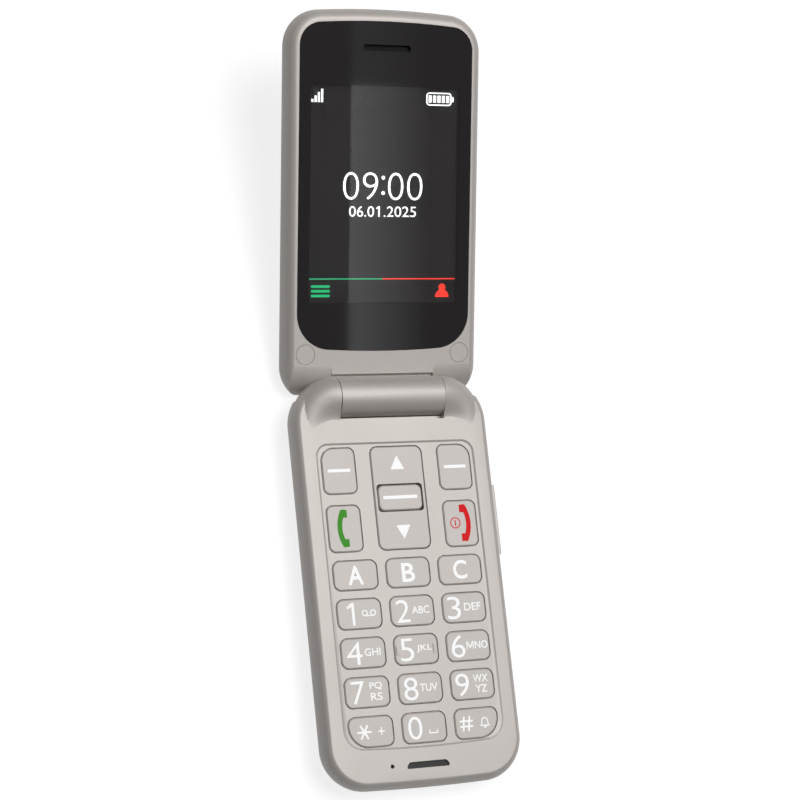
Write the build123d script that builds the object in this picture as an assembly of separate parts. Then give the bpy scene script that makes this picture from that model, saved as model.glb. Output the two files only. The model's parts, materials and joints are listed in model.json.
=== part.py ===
from build123d import *
import os
from math import cos, radians, sin, sqrt

# Clamshell mobile telephone with large keys, standing open on its back.
# Millimetres. +X is the telephone's right, +Y runs from the keypad to the lid, +Z is out of the keypad.
# The origin is the centre of the flat back of the keypad half. Both halves turn about one axis along X.

os.makedirs("parts", exist_ok=True)

# ---- overall form -------------------------------------------------------------------------------
half_width = 28.2            # both halves, at their parting lines
base_thickness = 11.0
lid_thickness = 8.1
base_reach = 103.75          # hinge axis to the keypad half's bottom end
lid_reach = 102.9            # hinge axis to the lid's far end
hinge_y = 48.6
axis_below_face = 2.09       # hinge axis under the keypad face
lid_gap = 0.74               # between the two inner faces when closed
lid_tilt = 16.76             # degrees that the open lid stands up from the keypad half

hinge_z = base_thickness - axis_below_face
base_bottom = hinge_y - base_reach
lid_face = -(axis_below_face + lid_gap)      # inner face of the lid, in the lid's own frame
lid_back = lid_face - lid_thickness

# ---- edges of the two housings ------------------------------------------------------------------
base_parting = 8.2           # height of the keypad half's parting line
base_front_roll = 2.92       # radius of the side above the parting line
base_back_roll = 11.0        # radius of the side below it
base_corner = 11.5
base_end_bulge = 0.75        # how much the bottom end bows out
knuckle_corner = 12.5        # plan radius of the two corners that carry the hinge
lid_parting = lid_face - 3.5
lid_front_roll = 3.66
lid_back_roll = 5.2
lid_corner = 9.8
lid_hinge_corner = 9.5
lid_end_bulge = 1.6
lid_overlap = 1.5            # how far the lid reaches past the hinge axis
wall = 2.6                   # side walls
skin = 1.2                   # face and back walls
lip_width = 0.8              # tongue that locates one housing in the other
lip_height = 0.8
fit_gap = 0.1                # between fixed pieces
roll_skirt = 1.0             # straight stock beyond a rolled edge, cut off again

# ---- hinge --------------------------------------------------------------------------------------
barrel_radius = 5.35
knuckle_width = 13.1         # each of the two knuckles beside the barrel
knuckle_gap = 0.15           # between the barrel's ends and the knuckles
trough_gap = 0.3             # round the barrel, in the keypad half
trough_front = 6.7           # hinge axis to the keypad face's edge
knuckle_foot = 8.4           # hinge axis to where a knuckle's fairing meets the face
knuckle_pivot = 9.9          # hinge axis to the upright line from which a knuckle's cuts fan out
knuckle_fall = 2.0           # how steeply the knuckle's crest falls towards the side: a power of the cosine
knuckle_steps = 6
knuckle_sink = 0.05          # foot and outer end of a knuckle under the face
base_end_wall = 0.6          # the keypad half's end wall lies this far inside the axis
neck_gap = 0.05              # the lid's neck is this much narrower than its barrel at each end
neck_end = 5.75              # hinge axis to the edge of the lid's face at the neck
neck_step = 1.2              # drop from that edge to the barrel
neck_bevel = 0.3
relief_reach = 8.2           # hinge axis to where the lid's face starts to roll away
relief_roll = 8.4
shaft_radius = 1.8
shaft_length = 5.0           # in the knuckle and in the barrel
running_gap = 0.05
cartridge_radius = 3.6
cartridge_length = 15.0
socket_flat = 1.2            # half thickness of the keyed end of the cam shaft
cartridge_flat = 3.1         # half thickness of the cartridge across its flats
cable_bore = 1.1             # through the hollow pin

knuckle_face = half_width - knuckle_width
barrel_half = knuckle_face - knuckle_gap     # half length of the lid's barrel
tongue_half = barrel_half - neck_gap

# ---- keypad -------------------------------------------------------------------------------------
field_side = 5.3             # face beside the recessed field
field_start = 5.9            # face between the barrel's trough and the field
field_end = 10.15            # housing below the field
field_depth = 0.3
field_slope = 0.5            # width of the slope round the field
field_corner_top = 3.5
field_corner_low = 5.5
field_bulge = 0.9
key_proud = 0.15             # key tops above the recessed field
key_gap = 0.2
key_travel = 0.35
key_flange = 0.6             # flange width under the face plate
key_flange_height = 0.6
key_edge = 0.3               # bevel of a key's top edge
key_margin = 1.6             # field beside the outer keys
end_margin = 1.2             # field below the last row
top_margin = 1.3             # field above the first row
column_space = 2.6
row_space = 2.34
letter_less = 0.1            # the letter keys are this much lower than the digit keys
digit_radius = 2.0
outer_straight = 0.36        # left of the last row's sides between their upper and lower corners
side_key_width = 9.5
side_key_margin = 1.4
soft_length = 12.2
call_length = 12.3
side_key_space = 3.1         # between a soft key and the call or end key below it
side_key_radius = 1.8
soft_outer_radius = 3.5
nav_space = 4.55             # between the rocker and the side keys
nav_radius = 2.0
nav_rim = 1.2                # rocker beside the select key
ok_drop = 10.4               # rocker's upper end to the select key
ok_length = 6.75
ok_radius = 1.6
ok_gap = 0.35                # round the select key
ok_hole_radius = 1.0
trunnion_radius = 0.45       # round lugs on which the rocker tips
trunnion_root = 1.0
nib_height = 0.25
nib_size = 0.8

field_half = half_width - field_side
field_top = -trough_front - field_start      # keypad rows are measured from the hinge axis
field_bottom = field_end - base_reach
digit_width = (2 * (field_half - key_margin) - 2 * column_space) / 3
column_pitch = digit_width + column_space
side_key_far = field_half - side_key_margin
side_key_near = side_key_far - side_key_width
soft_top = field_top - top_margin
soft_bottom = soft_top - soft_length
call_top = soft_bottom - side_key_space
call_bottom = call_top - call_length
nav_half = side_key_near - nav_space
nav_top = soft_top
nav_bottom = call_bottom
ok_half = nav_half - nav_rim
ok_top = nav_top - ok_drop
ok_bottom = ok_top - ok_length
key_rows = 5
digit_height = (call_bottom - field_bottom - end_margin - key_rows * row_space + letter_less) / key_rows
letter_height = digit_height - letter_less
outer_radius = digit_height - digit_radius - outer_straight      # outer lower corners of the last row
letter_row = call_bottom - row_space - letter_height / 2
row_pitch = digit_height + row_space
digit_row = letter_row - (letter_height + digit_height) / 2 - row_space

# ---- inside the keypad half ---------------------------------------------------------------------
cavity_top_gap = 1.2         # wall between the barrel's trough and the inside
cavity_top_corner = 4.0
key_play = 0.05              # over the key flanges
mat_gap = 0.1                # between pressed keys and the rubber mat
mat_height = 0.5
dome_height = 0.15
dome_sheet_height = 0.1
dome_radius = 2.1
board_height = 0.8
board_clearance = 0.5
screw_radius = 0.8
screw_head_radius = 1.6
screw_head_height = 0.9
boss_radius = 2.2
screw_side_low = 8.7         # screws from the sides and ends of the housing
screw_end_low = 7.35
screw_side_high = 8.2
screw_end_high = 10.3        # from the hinge axis
floor_height = 1.0           # rear housing's floor over the battery cover
cover_height = 1.2
cover_side = 5.0             # housing beside the battery cover
cover_start = 22.1           # hinge axis to the cover
cover_end = 5.15             # housing below the cover
cover_corner = 6.0
battery_side = 5.7           # cover's edge to the battery
battery_start = 36.6         # hinge axis to the battery
battery_end = 8.0            # cover's lower edge to the battery
battery_height = 4.5
battery_corner = 2.0
battery_gap = 0.3
bay_wall = 1.0
bay_ceiling = 0.6
bay_clip = 0.5
sim_width = 13.0
sim_length = 9.5
sim_height = 1.4
sim_aside = 2.0              # between the card tray and the shield can
sim_space = 0.6
contact_width = 12.0
contact_depth = 2.2
speaker_radius = 6.5
speaker_height = 3.2
speaker_x = -9.0
speaker_start = 14.9         # hinge axis to the loudspeaker
motor_radius = 2.0
motor_length = 9.0
motor_side = 11.2            # the motor's end from the side of the housing
motor_end = 6.65             # and its axis from the bottom end
can_width = 12.0
can_length = 10.0
can_height = 2.0
can_wall = 0.3
can_side = 10.7              # the can's middle from the side of the housing
can_over = 0.4               # the can starts this far past the card tray's lower edge
chip_height = 0.7
chip_size = 2.6
mic_radius = 2.0
antenna_length = 36.0
antenna_depth = 1.0
antenna_end = 24.65          # bottom end to the antenna
recess_width = 0.4           # cross recess of the screws
recess_depth = 0.5
usb_width = 8.94
usb_height = 3.16
usb_length = 7.3
usb_wall = 0.3
mic_x = -10.2
mic_drop = 4.2               # field to the microphone hole
mic_hole = 0.55
sound_slot_half = 6.0
sound_slot_drop = 3.5        # field to the sound slot
sound_slot_tall = 1.7
sound_slot_radius = 1.4
rear_slot_width = 0.9
rear_slot_length = 8.0
rear_slot_pitch = 2.2
rear_slot_count = 5
alarm_radius = 4.8
alarm_x = 11.0
alarm_start = 15.1           # hinge axis to the alarm key
alarm_recess = 0.5
alarm_travel = 0.5
rocker_start = 34.6          # hinge axis to the volume rocker
rocker_length = 19.0
rocker_height = 3.2
rocker_depth = 2.4
rocker_pivot = 0.5           # radius of the ridge on which it tips
rocker_proud = 0.3

# ---- inside the lid -----------------------------------------------------------------------------
window_side = 3.3            # lid beside the window
window_low = 13.4            # where the window's curved ends meet its straight sides' corners
window_end = 4.7             # lid above it, up to where the sides' corners meet
window_bulge_low = 1.2
window_bulge_high = 1.3
window_corner_low = 9.5
window_corner_high = 6.2
window_height = 1.0
window_recess = 0.1
display_side = 3.3           # window beside the picture
display_low = 25.0
display_end = 20.3           # picture to the lid's far end
display_depth = 1.5          # from the lid's face to the picture
module_border = 1.4
module_foot = 3.2            # wider border at the display's lower end
module_height = 2.2
frame_height = 1.2           # lid front housing under the window
ear_slot_half = 6.9
ear_slot_end = 9.5           # lid above the earpiece slot
ear_slot_tall = 1.65
cap_side = 5.75
cap_y = 11.35
cap_radius = 2.6
cap_height = 0.8
camera_end = 18.9            # camera to the lid's far end
camera_radius = 4.2
camera_hole = 2.6
camera_module_size = 8.0
camera_module_height = 3.0
ear_speaker_width = 15.0
ear_speaker_length = 6.0
ear_speaker_height = 2.4
mesh_height = 0.4
mesh_border = 0.5
lid_cavity_low = 15.0        # hinge axis to the lid's hollow
lid_shell_middle = 9.5       # the lid's back curves round the hinge as an ellipse: its centre ...
lid_shell_rise = 1.0
lid_shell_reach = 16.0       # ... and how far it reaches
quarter_turn = 90            # degrees
post_radius = 1.5
post_inset = 3.0
lid_board_side = 4.6         # picture's edge to the board's
lid_board_start = 5.0
lid_board_end = 8.6
flex_left = 4.0
flex_width = 8.0
flex_height = 0.2
flash_x = 9.5
flash_radius = 1.6
lens_height = 0.8
magnet_size = 4.0
magnet_y = 17.0
magnet_x = -12.0


window_half = half_width - window_side
window_high = lid_reach - window_end
display_half = window_half - display_side
display_high = lid_reach - display_end
ear_slot_high = lid_reach - ear_slot_end
ear_slot_low = ear_slot_high - ear_slot_tall
cap_x = half_width - cap_side
camera_y = lid_reach - camera_end
lid_board_half = display_half - lid_board_side


# ---- helpers ------------------------------------------------------------------------------------
def rounded_face(left, low, right, high, radii, bulge_low=0.0, bulge_high=0.0):
    """Flat outline in X and Y. radii: corners low left, low right, high right, high left."""
    middle = (left + right) / 2
    corners = [(left, low), (right, low), (right, high), (left, high)]
    low_side = (Line(corners[0], corners[1]) if bulge_low == 0 else
                ThreePointArc(corners[0], (middle, low - bulge_low), corners[1]))
    high_side = (Line(corners[2], corners[3]) if bulge_high == 0 else
                 ThreePointArc(corners[2], (middle, high + bulge_high), corners[3]))
    face = make_face([low_side, Line(corners[1], corners[2]), high_side, Line(corners[3], corners[0])])
    for corner, radius in zip(corners, radii):
        vertex = face.vertices().sort_by_distance((corner[0], corner[1], 0))[0]
        face = fillet(vertex, radius)
    return face


def slab(face, low, high):
    """The outline as a plate between two heights."""
    return extrude(Pos(0, 0, low) * face, high - low, dir=(0, 0, 1))


def block(left, right, front, back, low, high):
    return Pos(left, front, low) * Box(right - left, back - front, high - low, align=Align.MIN)


def disc(x, y, low, high, radius):
    return Pos(x, y, low) * Cylinder(radius, high - low, align=(Align.CENTER, Align.CENTER, Align.MIN))


def bar(left, right, y, z, radius):
    """Round bar along X."""
    return Pos((left + right) / 2, y, z) * Rot(0, 90, 0) * Cylinder(radius, right - left)


def rolled(face, parting, end, radius):
    """Half of a housing: straight at the parting line and rolled over to its flat face at end."""
    up = end > parting
    low, high = (parting - roll_skirt, parting + radius) if up else (parting - radius, parting + roll_skirt)
    body = slab(face, low, high)
    rim = body.faces().sort_by(Axis.Z)[-1 if up else 0].edges()
    body = fillet(rim, radius - 0.001)
    size = body.bounding_box().size
    low, high = (parting, end) if up else (end, parting)
    return body & block(-size.X, size.X, -2 * size.Y, 2 * size.Y, low, high)


def keyed_bar(left, right, radius, flat):
    """Round bar along X with two flats that stop it from turning."""
    return bar(left, right, 0, 0, radius) & block(left, right, -radius, radius, -flat, flat)


def side_profile(edges, left, right):
    """Solid between two X values from edges drawn as (y, z)."""
    return extrude(Plane((left, 0, 0), x_dir=(0, 1, 0), z_dir=(1, 0, 0)) * make_face(edges), right - left)


def save(shape, name):
    export_step(shape, "parts/" + name + ".step")


def both_sides(shape):
    return shape + mirror(shape, Plane.YZ)


def on_axis(shape):
    """From the origin to the hinge axis, unturned."""
    return Pos(0, hinge_y, hinge_z) * shape


def in_lid(shape):
    """From the lid's own frame (hinge axis at the origin) to its open place."""
    return Pos(0, hinge_y, hinge_z) * Rot(lid_tilt, 0, 0) * shape


# ---- heights inside the keypad half -------------------------------------------------------------
plate_low = base_thickness - skin
field_floor = base_thickness - field_depth
key_top = field_floor + key_proud
flange_top = plate_low - key_play
flange_low = flange_top - key_flange_height
mat_top = flange_low - key_travel - mat_gap
mat_low = mat_top - mat_height
board_top = mat_low - dome_height - dome_sheet_height
board_low = board_top - board_height
floor_top = cover_height + floor_height
battery_low = cover_height + fit_gap
battery_top = battery_low + battery_height
bay_roof = battery_top + fit_gap
end_y = hinge_y - base_end_wall
cavity_top = hinge_y - trough_front - cavity_top_gap
screw_x_low = half_width - screw_side_low
screw_x_high = half_width - screw_side_high
screw_y_low = base_bottom + screw_end_low
screw_y_high = hinge_y - screw_end_high
cover_half = half_width - cover_side
cover_top = hinge_y - cover_start
cover_bottom = base_bottom + cover_end
battery_half = cover_half - battery_side
battery_bottom = cover_bottom + battery_end
battery_high = hinge_y - battery_start
sim_low = battery_high + battery_gap + contact_depth + sim_space
can_x = half_width - can_side
can_y = sim_low + can_over + can_length / 2
sim_x = can_x - (can_width + sim_width) / 2 - sim_aside
motor_x = half_width - motor_side - motor_length
motor_y = base_bottom + motor_end
antenna_low = base_bottom + antenna_end
speaker_y = hinge_y - speaker_start
alarm_y = hinge_y - alarm_start
rocker_y = hinge_y - rocker_start
rocker_z = base_parting
mic_y = field_bottom - mic_drop
sound_slot_top = field_bottom - sound_slot_drop
sound_slot_bottom = sound_slot_top - sound_slot_tall


# ---- keypad layout ------------------------------------------------------------------------------
def key_face(left, low, right, high, radii, grow=0.0):
    """A key's outline; low and high are measured from the hinge axis. grow widens it all round."""
    face = rounded_face(left, hinge_y + low, right, hinge_y + high, radii)
    return offset(face, grow) if grow else face


def keypad():
    """Every single key as name: (left, low, right, high, corner radii)."""
    keys = {}
    edge = side_key_radius
    for side, name in ((-1, "left"), (1, "right")):
        left, right = sorted((side * side_key_near, side * side_key_far))
        outer = (edge, edge, soft_outer_radius, edge) if side > 0 else (edge, edge, edge, soft_outer_radius)
        keys["key_soft_" + name] = (left, soft_bottom, right, soft_top, outer)
        name = "key_call" if side < 0 else "key_end"
        keys[name] = (left, call_bottom, right, call_top, (edge,) * 4)
    keys["key_select"] = (-ok_half, ok_bottom, ok_half, ok_top, (ok_radius,) * 4)
    rows = [("a", "b", "c"), ("1", "2", "3"), ("4", "5", "6"), ("7", "8", "9"), ("star", "0", "hash")]
    for row, names in enumerate(rows):
        middle = letter_row if row == 0 else digit_row - (row - 1) * row_pitch
        tall = (letter_height if row == 0 else digit_height) / 2
        for column, name in enumerate(names):
            x = (column - 1) * column_pitch
            radii = [digit_radius] * 4
            if name == "star":
                radii[0] = outer_radius
            if name == "hash":
                radii[1] = outer_radius
            keys["key_" + name] = (x - digit_width / 2, middle - tall, x + digit_width / 2, middle + tall, radii)
    return keys


keys = keypad()
nav_outline = (-nav_half, nav_bottom, nav_half, nav_top, (nav_radius,) * 4)
nav_middle = hinge_y + (nav_bottom + nav_top) / 2
trunnion_z = flange_low + (trunnion_radius - mat_gap) / 2


# ---- the keypad half's outer form ---------------------------------------------------------------
def base_outline(inset=0.0):
    """Plan of the keypad half, or of its inside when inset; the inside ends before the barrel's trough."""
    low = base_bottom + base_end_bulge + inset
    high = hinge_y + barrel_radius if inset == 0 else cavity_top + wall - inset
    top = knuckle_corner if inset == 0 else cavity_top_corner
    corner = base_corner - inset
    return rounded_face(-half_width + inset, low, half_width - inset, high, (corner, corner, top, top),
                        base_end_bulge)


def nose_radius(x):
    """Radius of a knuckle's lower part round the hinge axis; its plan is rounded like the housing's corner."""
    over = max(0.0, x - (half_width - knuckle_corner))
    return barrel_radius - knuckle_corner + sqrt(knuckle_corner**2 - over**2)


def knuckle_section(angle):
    """Upright cut across a knuckle; the cuts fan out from a pivot, from along Y (0) to along X (90 degrees).

    The outer side is a round of the barrel's radius that follows the housing's corner and sinks from the
    hinge axis to the side's roll; the inner side is an S-shaped ramp down to the keypad face.
    """
    share = cos(radians(angle))
    corner = half_width - knuckle_corner
    pivot = Vector(corner - (knuckle_pivot - knuckle_corner + barrel_radius), hinge_y - knuckle_pivot)
    offset_to_corner = corner - pivot.X
    along = offset_to_corner * (share + sin(radians(angle)))
    outline = along + sqrt(along**2 + knuckle_corner**2 - 2 * offset_to_corner**2)
    radius = barrel_radius
    crest_height = base_thickness - knuckle_sink + (barrel_radius - axis_below_face + knuckle_sink) * share**knuckle_fall
    crest = Vector(outline - radius, crest_height)
    middle = Vector(crest.X, crest_height - radius)
    inner = knuckle_pivot - knuckle_foot
    foot = Vector(inner + (crest.X - skin - inner) * (1 - share), base_thickness - knuckle_sink)
    heel = Vector(middle.X + sqrt(radius**2 - (base_parting - middle.Y)**2), base_parting)
    round_part = ThreePointArc(crest, middle + (crest + heel - middle * 2).normalized() * radius, heel)
    ramp = Spline(foot, crest, tangents=((1, 0), (1, 0)))
    toe = Vector(foot.X, base_parting)
    outline = [ramp, round_part, Line(heel, toe), Line(toe, foot)]
    across = (sin(radians(angle)), share, 0)
    plane = Plane((pivot.X, pivot.Y, 0), x_dir=across, z_dir=(share, -sin(radians(angle)), 0))
    return plane * make_face(outline)


def knuckle_top():
    """Right-hand lump over the hinge, round to where it has sunk into the side."""
    return loft([knuckle_section(quarter_turn * step / knuckle_steps) for step in range(knuckle_steps + 1)])


def knuckle_nose():
    """Right-hand lump of the hinge below the parting line, turned about the hinge axis."""
    start = half_width - knuckle_corner
    tip = start + sqrt(knuckle_corner**2 - (knuckle_corner - barrel_radius)**2)
    middle = (start + tip) / 2
    outline = [Line((knuckle_face, 0), (tip, 0)), ThreePointArc((tip, 0), (middle, nose_radius(middle)),
                                                               (start, barrel_radius)),
               Line((start, barrel_radius), (knuckle_face, barrel_radius)),
               Line((knuckle_face, barrel_radius), (knuckle_face, 0))]
    return Pos(0, hinge_y, hinge_z) * revolve(make_face(outline), Axis.X)


def trough():
    """Room for the lid's barrel."""
    round_part = bar(-knuckle_face, knuckle_face, hinge_y, hinge_z, barrel_radius + trough_gap)
    return round_part + block(-knuckle_face, knuckle_face, hinge_y - trough_front, hinge_y + 2 * barrel_radius,
                              hinge_z, hinge_z + 2 * barrel_radius)


def screw_places():
    return [(side * x, y) for x, y in ((screw_x_low, screw_y_low), (screw_x_high, screw_y_high))
            for side in (-1, 1)]


def axle_sockets():
    """Holes in the two knuckles: keyed on the left for the cam shaft, round on the right for the pin."""
    round_hole = bar(knuckle_face, knuckle_face + shaft_length, 0, 0, shaft_radius + running_gap)
    return on_axis(round_hole + keyed_bar(-knuckle_face - shaft_length, -knuckle_face, shaft_radius + running_gap,
                                          socket_flat + running_gap))


def sound_slot(grow):
    low, high = hinge_y + sound_slot_bottom - grow, hinge_y + sound_slot_top + grow
    return rounded_face(-sound_slot_half - grow, low, sound_slot_half + grow, high,
                        (fit_gap + grow,) * 2 + (sound_slot_radius,) * 2)


def usb_space(gap):
    """The socket's opening through the bottom end, wider than the socket by gap all round."""
    tall = usb_height + 2 * gap
    body = block(-usb_width / 2 - gap, usb_width / 2 + gap, base_bottom - skin, base_bottom + usb_length,
                 board_low - usb_height - gap, board_low - usb_height - gap + tall)
    return fillet(body.edges().filter_by(Axis.Y), tall / 2 - fit_gap)


def rocker_space(gap):
    """Volume rocker with the ridge it tips on, without gap; its slot in the right-hand side wall with one."""
    low, high = rocker_z - rocker_height / 2 - gap, rocker_z + rocker_height / 2 + gap
    body = block(half_width - rocker_depth - gap, half_width + rocker_proud + gap,
                 rocker_y - rocker_length / 2 - gap, rocker_y + rocker_length / 2 + gap, low, high)
    return body + disc(half_width - rocker_depth, rocker_y, low, high, rocker_pivot + gap)


# ---- keypad half: housings ----------------------------------------------------------------------
def base_front_housing():
    """Upper shell with the keypad's recessed field, its apertures and the upper part of both knuckles."""
    body = rolled(base_outline(), base_parting, base_thickness, base_front_roll)
    body &= block(-half_width, half_width, 2 * base_bottom, end_y, 0, 2 * base_thickness)
    body += both_sides(knuckle_top() & block(knuckle_face, half_width, base_bottom, 2 * hinge_y, 0, 2 * base_thickness))
    body -= trough()
    field = rounded_face(-field_half, hinge_y + field_bottom + field_bulge, field_half, hinge_y + field_top,
                         (field_corner_low, field_corner_low, field_corner_top, field_corner_top), field_bulge)
    recess = slab(field, field_floor, base_thickness)
    body -= chamfer(recess.faces().sort_by(Axis.Z)[0].edges(), field_depth - fit_gap / 10, field_slope)
    body -= slab(base_outline(wall), 0, plate_low)
    body -= slab(base_outline(wall - lip_width - fit_gap), 0, base_parting + lip_height + fit_gap)
    openings = [key_face(*outline, key_gap) for name, outline in keys.items() if name != "key_select"]
    openings.append(key_face(*nav_outline, key_gap))
    for opening in openings:
        body -= slab(opening, plate_low - skin, field_floor + skin)
    for x, y in screw_places():
        body += disc(x, y, board_low, plate_low, boss_radius) - disc(x, y, 0, plate_low - fit_gap, screw_radius)
    body -= axle_sockets()
    body -= disc(mic_x, hinge_y + mic_y, plate_low - skin, 2 * base_thickness, mic_hole)
    body -= slab(sound_slot(0), 0, 2 * base_thickness)
    body -= usb_space(fit_gap)
    return body - rocker_space(key_gap)


def base_rear_housing():
    """Lower shell with the battery bay, the recess of its cover and the lower part of both knuckles."""
    body = rolled(base_outline(), base_parting, 0, base_back_roll)
    body &= block(-half_width, half_width, 2 * base_bottom, end_y, 0, base_parting)
    body += both_sides(knuckle_nose() & block(0, half_width, hinge_y - barrel_radius, hinge_y + barrel_radius,
                                              0, base_parting))
    body -= trough()
    body -= axle_sockets()
    body -= slab(base_outline(wall), floor_top, base_parting)
    lip = slab(base_outline(wall - lip_width), floor_top, base_parting + lip_height)
    body += lip - slab(base_outline(wall), 0, 2 * base_parting)
    low, high = battery_bottom - battery_gap, battery_high + battery_gap
    side = battery_half + battery_gap
    body += block(-side - bay_wall, side + bay_wall, low - bay_wall, high + bay_wall, cover_height,
                  bay_roof + bay_ceiling)
    body -= block(-side, side, low, high, -floor_height, bay_roof)
    body -= block(-contact_width / 2 - fit_gap, contact_width / 2 + fit_gap, high - fit_gap,
                  high + contact_depth + fit_gap, 0, base_thickness)
    body -= block(sim_x - sim_width / 2, sim_x + sim_width / 2, sim_low, sim_low + sim_length, 0, floor_top)
    for x, y in screw_places():
        body += disc(x, y, cover_height, board_low - fit_gap, boss_radius)
        body -= disc(x, y, 0, cover_height + screw_head_height + fit_gap, screw_head_radius + fit_gap)
        body -= disc(x, y, 0, board_low, screw_radius + fit_gap)
    body -= slab(cover_face(fit_gap), -floor_height, cover_height)
    body -= disc(alarm_x, alarm_y, 0, floor_top + skin, alarm_radius + key_gap)
    for row in range(rear_slot_count):
        y = speaker_y + (row - (rear_slot_count - 1) / 2) * rear_slot_pitch
        slot = Pos(speaker_x, y) * SlotOverall(rear_slot_length, rear_slot_width)
        body -= slab(slot, -floor_height, floor_top + skin)
    body -= usb_space(fit_gap)
    return body - rocker_space(key_gap)


def cover_face(grow=0.0):
    return rounded_face(-cover_half - grow, cover_bottom - grow, cover_half + grow, cover_top + grow,
                        (cover_corner + grow,) * 4)


def battery_cover():
    """Flat lid of the battery bay with a finger-nail notch at its upper end and two hooks at the lower."""
    body = slab(cover_face(), 0, cover_height)
    notch = Pos(0, cover_top, 0) * Sphere(2 * cover_height)
    return body - (notch & block(-half_width, half_width, 0, half_width, 0, cover_height - fit_gap * 4))


# ---- keypad half: keys --------------------------------------------------------------------------
def bevelled_top(body):
    top = body.faces().sort_by(Axis.Z)[-1]
    return chamfer(top.outer_wire().edges(), key_edge)


def single_key(name):
    """Cap that stands in its aperture, with a flange under the face plate; the select key has none."""
    outline = keys[name]
    body = bevelled_top(slab(key_face(*outline), flange_low, key_top))
    if name == "key_select":
        return body
    if name == "key_5":
        for side in (-1, 1):
            nib = block(-nib_size / 2, nib_size / 2, -nib_size * 1.5, nib_size * 1.5, -key_flange_height, nib_height)
            middle = hinge_y + (outline[1] + outline[3]) / 2
            body += Pos(side * (digit_width / 2 - nib_size - key_edge / 2), middle, key_top) * nib
    return body + slab(key_face(*outline, key_flange), flange_low, flange_top)


def nav_rocker():
    """Up and down rocker round the select key; it tips about X on two round lugs."""
    left, low, right, high, radii = keys["key_select"]
    body = bevelled_top(slab(key_face(*nav_outline), flange_low, key_top))
    hole = rounded_face(left - ok_gap, hinge_y + low - ok_gap, right + ok_gap, hinge_y + high + ok_gap,
                        (ok_hole_radius,) * 4)
    body -= slab(hole, 0, 2 * base_thickness)
    lug = bar(nav_half - trunnion_root, nav_half + key_flange, nav_middle, trunnion_z, trunnion_radius)
    return body + both_sides(lug)


def volume_rocker():
    """Two-way key in the right-hand side; it tips about Z."""
    body = rocker_space(0)
    return chamfer(body.faces().sort_by(Axis.X)[-1].edges(), key_edge)


def alarm_key():
    """Round key, sunk in the back, with a stem up to its switch."""
    body = disc(alarm_x, alarm_y, alarm_recess, floor_top + key_flange_height, alarm_radius)
    body = chamfer(body.faces().sort_by(Axis.Z)[0].edges(), key_edge)
    body += disc(alarm_x, alarm_y, floor_top + key_play, floor_top + key_flange_height, alarm_radius + key_flange)
    stem_top = board_low - chip_height - alarm_travel - fit_gap
    return body + disc(alarm_x, alarm_y, floor_top, stem_top, chip_size / 2)


# ---- keypad half: inside ------------------------------------------------------------------------
def key_mat():
    """Rubber sheet between the keys and their domes."""
    face = rounded_face(-field_half, hinge_y + field_bottom, field_half, hinge_y + field_top,
                        (field_corner_low,) * 2 + (field_corner_top,) * 2)
    return slab(face, mat_low, mat_top)


def dome_places():
    """Centre of the snap dome under each key; the rocker has one at each end."""
    places = [((left + right) / 2, hinge_y + (low + high) / 2) for left, low, right, high, radii in keys.values()]
    reach = (nav_top - nav_bottom) / 2 - digit_height / 2
    return places + [(0, nav_middle - reach), (0, nav_middle + reach)]


def dome_sheet():
    """Thin sheet with one flat snap dome for each switch."""
    face = rounded_face(-field_half, hinge_y + field_bottom, field_half, hinge_y + field_top,
                        (field_corner_low,) * 2 + (field_corner_top,) * 2)
    body = slab(face, board_top, board_top + dome_sheet_height)
    dome = Cone(dome_radius, dome_radius / 2, dome_height, align=(Align.CENTER, Align.CENTER, Align.MIN))
    return body + [Pos(x, y, board_top + dome_sheet_height) * dome for x, y in dome_places()]


def main_board():
    body = slab(base_outline(wall + board_clearance), board_low, board_top)
    for x, y in screw_places():
        body -= disc(x, y, 0, base_thickness, boss_radius + board_clearance)
    return body


def shield_can():
    """Drawn metal lid over the radio, open towards the board."""
    box = rounded_face(can_x - can_width / 2, can_y - can_length / 2, can_x + can_width / 2,
                       can_y + can_length / 2, (1.0,) * 4)
    inside = offset(box, -can_wall)
    return slab(box, board_low - can_height, board_low) - slab(inside, board_low - can_height + can_wall, board_low)


def chip(x, y, low, high, size):
    return block(x - size / 2, x + size / 2, y - size / 2, y + size / 2, low, high)


def usb_connector():
    """Flat oval metal shell with the contact tongue inside, open to the bottom end."""
    middle = board_low - usb_height / 2
    body = usb_space(0) & block(-usb_width, usb_width, base_bottom + 4 * fit_gap, 0, 0, board_low)
    inner = usb_space(-usb_wall) & block(-usb_width, usb_width, 2 * base_bottom,
                                         base_bottom + usb_length - skin, 0, board_low)
    tongue = block(-usb_width / 2 + 1.1, usb_width / 2 - 1.1, base_bottom + skin, base_bottom + usb_length - skin,
                   middle - usb_wall, middle + usb_wall)
    return body - inner + tongue


def battery_pack():
    body = slab(rounded_face(-battery_half, battery_bottom, battery_half, battery_high, (battery_corner,) * 4),
                battery_low, battery_top)
    return chamfer(body.edges().group_by(Axis.Z)[-1] + body.edges().group_by(Axis.Z)[0], key_edge)


def battery_contacts():
    """Block with three spring blades against the battery's upper end."""
    low = battery_high + battery_gap
    body = block(-contact_width / 2, contact_width / 2, low, low + contact_depth, battery_low, board_low)
    blade = block(-0.6, 0.6, low - battery_gap, low, battery_low + skin, battery_top - skin)
    return body + [Pos(step * contact_width / 3, 0, 0) * blade for step in (-1, 0, 1)]


def sim_holder():
    """Tray for the subscriber card under the board, open towards the battery."""
    left = sim_x - sim_width / 2
    body = block(left, left + sim_width, sim_low, sim_low + sim_length, board_low - sim_height, board_low)
    return body - block(left + usb_wall, left + sim_width - usb_wall, sim_low - skin,
                        sim_low + sim_length - usb_wall, board_low - sim_height + usb_wall, board_low - usb_wall)


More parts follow.
